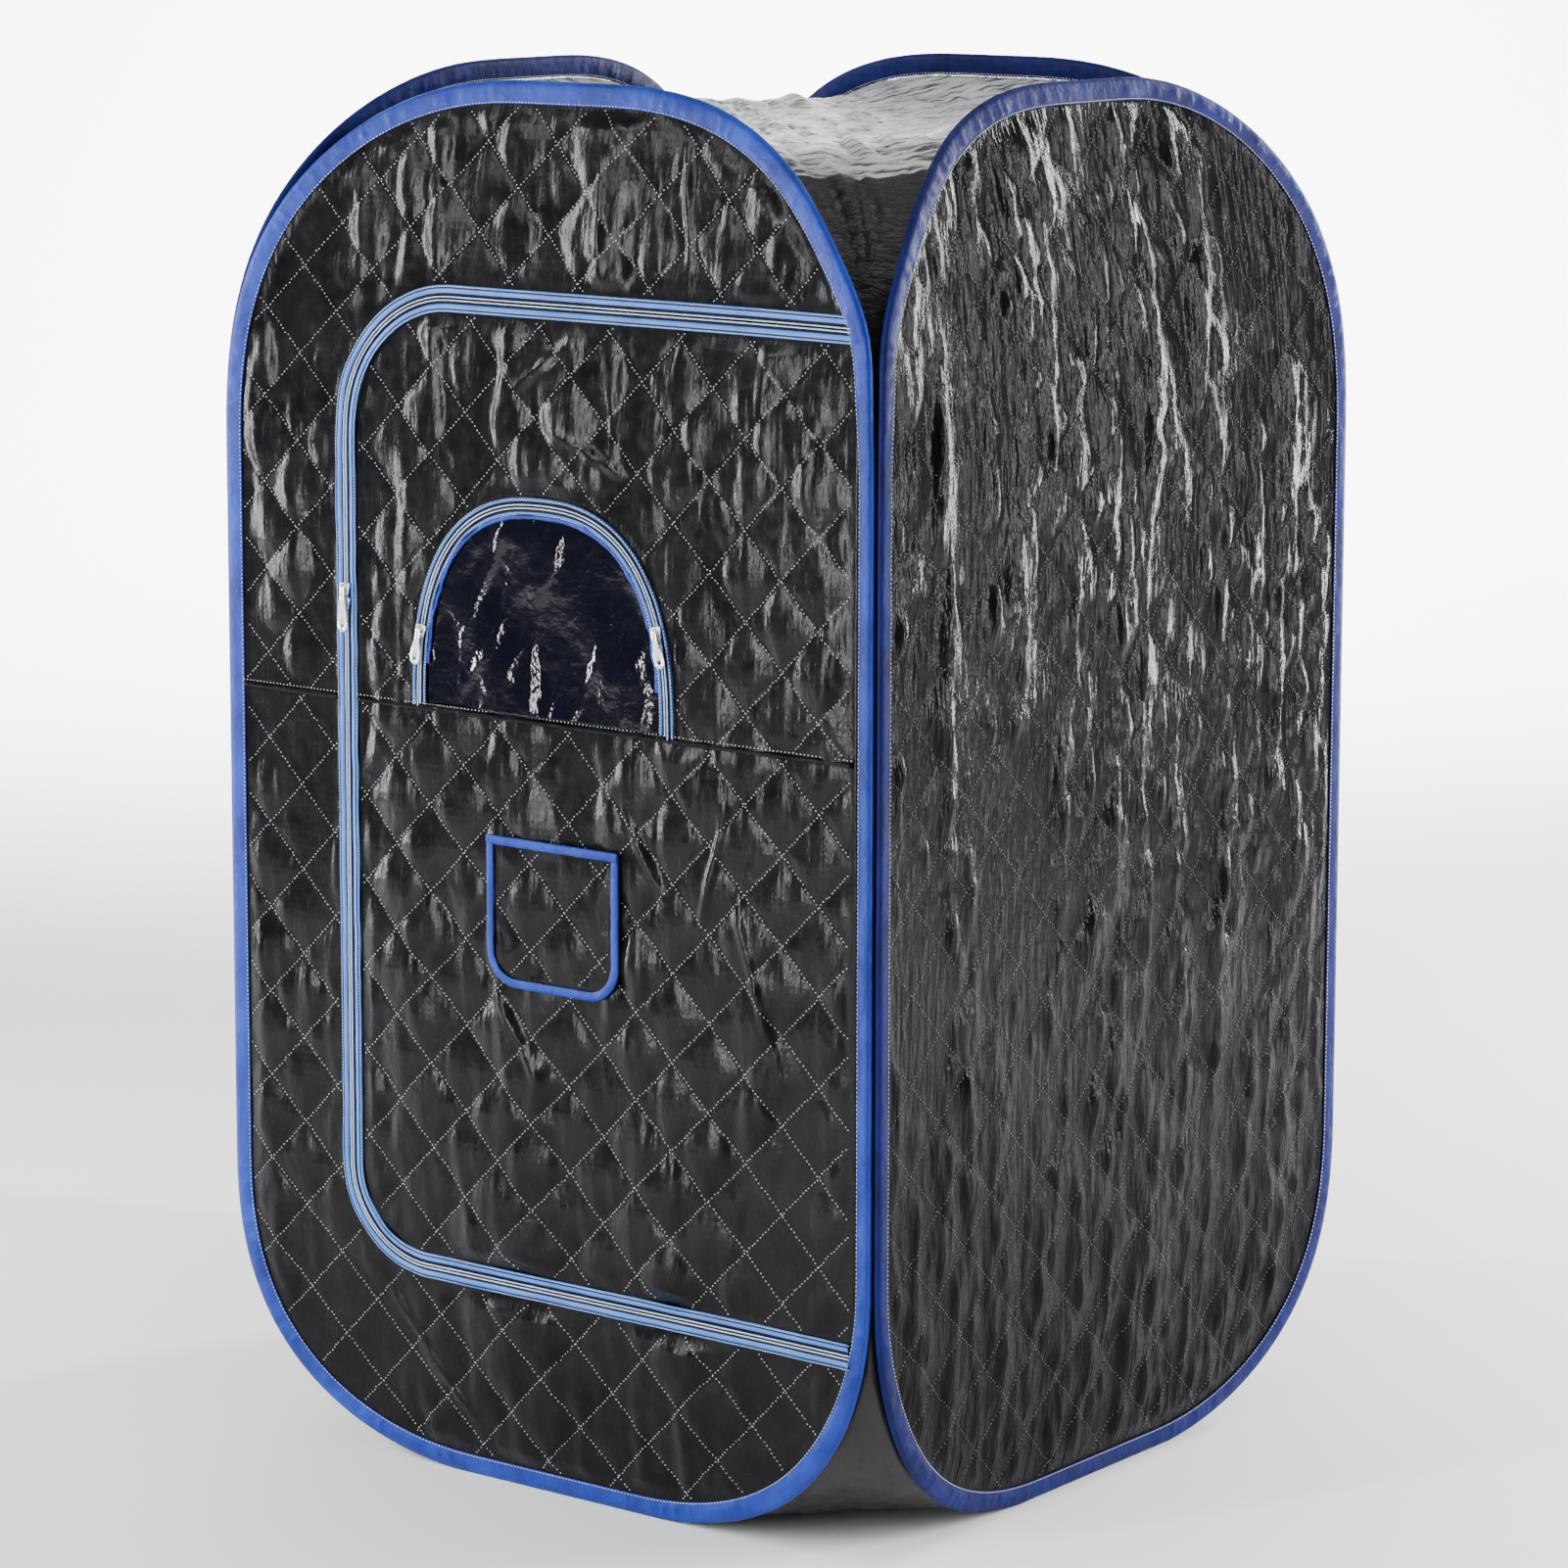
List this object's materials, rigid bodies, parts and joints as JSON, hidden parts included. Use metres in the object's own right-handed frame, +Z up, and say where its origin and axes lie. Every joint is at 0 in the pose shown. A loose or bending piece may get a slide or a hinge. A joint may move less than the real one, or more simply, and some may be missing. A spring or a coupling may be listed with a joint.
{
  "type": "portable steam sauna",
  "caption": "Folding fabric steam cabin: quilted walls on sprung wire hoops, zipped door with an arched window flap, patch pocket, roof, floor and steam inlet.",
  "frame": {"origin": "on the ground, at the middle of the square footprint between the walls' middle planes", "axes": "+Z up; -Y faces out of the door wall; +X to the right of someone facing the door"},
  "size_m": [0.909, 0.9574, 1.54],
  "materials": {
    "quilt": "glossy quilted polyester",
    "lining": "metallised film",
    "binding_bright": "satin",
    "binding_dark": "satin",
    "spring_steel": "bright",
    "crimp_metal": "satin",
    "zip_tape": "woven",
    "zip_metal": "polished",
    "window_film": "clear film over a dark inside",
    "roof_sheet": "crinkled, glossy",
    "floor_sheet": "matte woven",
    "inlet_plastic": "satin moulded"
  },
  "bodies": {
    "door_wall": {"door_wall_binding": "binding_bright", "door_wall_hoop": "spring_steel", "door_wall_ferrule": "crimp_metal", "door_wall_quilt": "quilt", "door_wall_lining": "lining", "doorway_zip_half": "zip_tape"},
    "left_wall": {"left_wall_binding": "binding_dark", "left_wall_hoop": "spring_steel", "left_wall_ferrule": "crimp_metal", "left_wall_quilt": "quilt", "left_wall_lining": "lining"},
    "right_wall": {"right_wall_binding": "binding_dark", "right_wall_hoop": "spring_steel", "right_wall_ferrule": "crimp_metal", "right_wall_quilt": "quilt", "right_wall_lining": "lining"},
    "rear_wall": {"rear_wall_binding": "binding_dark", "rear_wall_hoop": "spring_steel", "rear_wall_ferrule": "crimp_metal", "rear_wall_quilt": "quilt", "rear_wall_lining": "lining", "steam_inlet_flange": "inlet_plastic", "steam_inlet_nut": "inlet_plastic"},
    "roof": {"roof_sheet": "roof_sheet"},
    "floor": {"floor_sheet": "floor_sheet"},
    "door": {"door_quilt": "quilt", "door_lining": "lining", "door_zip_half": "zip_tape", "window_frame_zip_half": "zip_tape", "pocket_patch": "quilt", "pocket_binding": "binding_bright"},
    "window_flap": {"window_pane": "window_film", "window_flap_zip_half": "zip_tape"},
    "door_slider_upper": {"door_slider_upper": "zip_metal"},
    "door_pull_outer": {"door_pull_outer": "zip_metal"},
    "door_slider_lower": {"door_slider_lower": "zip_metal"},
    "door_pull_inner": {"door_pull_inner": "zip_metal"},
    "window_slider_left": {"window_slider_left": "zip_metal"},
    "window_pull_left": {"window_pull_left": "zip_metal"},
    "window_slider_right": {"window_slider_right": "zip_metal"},
    "window_pull_right": {"window_pull_right": "zip_metal"}
  },
  "joints": [
    {"name": "left_wall_fold", "type": "hinge", "parent": "door_wall", "child": "left_wall", "pos_m": [-0.4455, -0.4455, 0.77], "axis": [0, 0, -1], "range_deg": [0, 60]},
    {"name": "right_wall_fold", "type": "hinge", "parent": "door_wall", "child": "right_wall", "pos_m": [0.4545, -0.4545, 0.77], "axis": [0, 0, -1], "range_deg": [0, 60]},
    {"name": "rear_wall_fold", "type": "hinge", "parent": "right_wall", "child": "rear_wall", "pos_m": [0.4455, 0.4455, 0.77], "axis": [0, 0, 1], "range_deg": [0, 60]},
    {"name": "roof_turn", "type": "hinge", "parent": "door_wall", "child": "roof", "pos_m": [-0.2166, -0.84196, 1.5], "axis": [0, 0, -1], "range_deg": [0, 30], "deforming": ["roof_sheet"]},
    {"name": "floor_turn", "type": "hinge", "parent": "door_wall", "child": "floor", "pos_m": [-0.2166, -0.84196, 0], "axis": [0, 0, -1], "range_deg": [0, 30], "deforming": ["floor_sheet"]},
    {"name": "door_swing", "type": "hinge", "parent": "door_wall", "child": "door", "pos_m": [0.3983, -0.4566, 0.77], "axis": [0, 0, 1], "range_deg": [0, 115]},
    {"name": "window_swing", "type": "hinge", "parent": "door", "child": "window_flap", "pos_m": [0.0085, -0.4566, 0.868], "axis": [1, 0, 0], "range_deg": [0, 160]},
    {"name": "door_slider_upper_slide", "type": "slide", "parent": "door", "child": "door_slider_upper", "axis": [0, 0, 1], "range_m": [0, 0.135]},
    {"name": "door_slider_lower_slide", "type": "slide", "parent": "door", "child": "door_slider_lower", "axis": [0, 0, 1], "range_m": [-0.59, 0]},
    {"name": "door_pull_outer_swing", "type": "hinge", "parent": "door_slider_upper", "child": "door_pull_outer", "pos_m": [-0.268, -0.4622, 0.985], "axis": [-1, 0, 0], "range_deg": [0, 150]},
    {"name": "door_pull_inner_swing", "type": "hinge", "parent": "door_slider_lower", "child": "door_pull_inner", "pos_m": [-0.2655, -0.4442, 0.9685], "axis": [1, 0, 0], "range_deg": [0, 150]},
    {"name": "window_slider_left_slide", "type": "slide", "parent": "window_flap", "child": "window_slider_left", "axis": [0.1619, 0, 0.9868], "range_m": [-0.02, 0.01]},
    {"name": "window_pull_left_swing", "type": "hinge", "parent": "window_slider_left", "child": "window_pull_left", "pos_m": [-0.15821, -0.4622, 0.94899], "axis": [-0.9868, 0, 0.1619], "range_deg": [0, 150]},
    {"name": "window_slider_right_slide", "type": "slide", "parent": "window_flap", "child": "window_slider_right", "axis": [-0.2624, 0, 0.9649], "range_m": [-0.02, 0.01]},
    {"name": "window_pull_right_swing", "type": "hinge", "parent": "window_slider_right", "child": "window_pull_right", "pos_m": [0.16908, -0.4622, 0.97696], "axis": [-0.9649, 0, -0.2624], "range_deg": [0, 150]}
  ],
  "couplings": [
    {"joint": "right_wall_fold", "follows": "left_wall_fold", "ratio": 1},
    {"joint": "rear_wall_fold", "follows": "left_wall_fold", "ratio": 1},
    {"joint": "roof_turn", "follows": "left_wall_fold", "ratio": 0.5},
    {"joint": "floor_turn", "follows": "left_wall_fold", "ratio": 0.5}
  ]
}
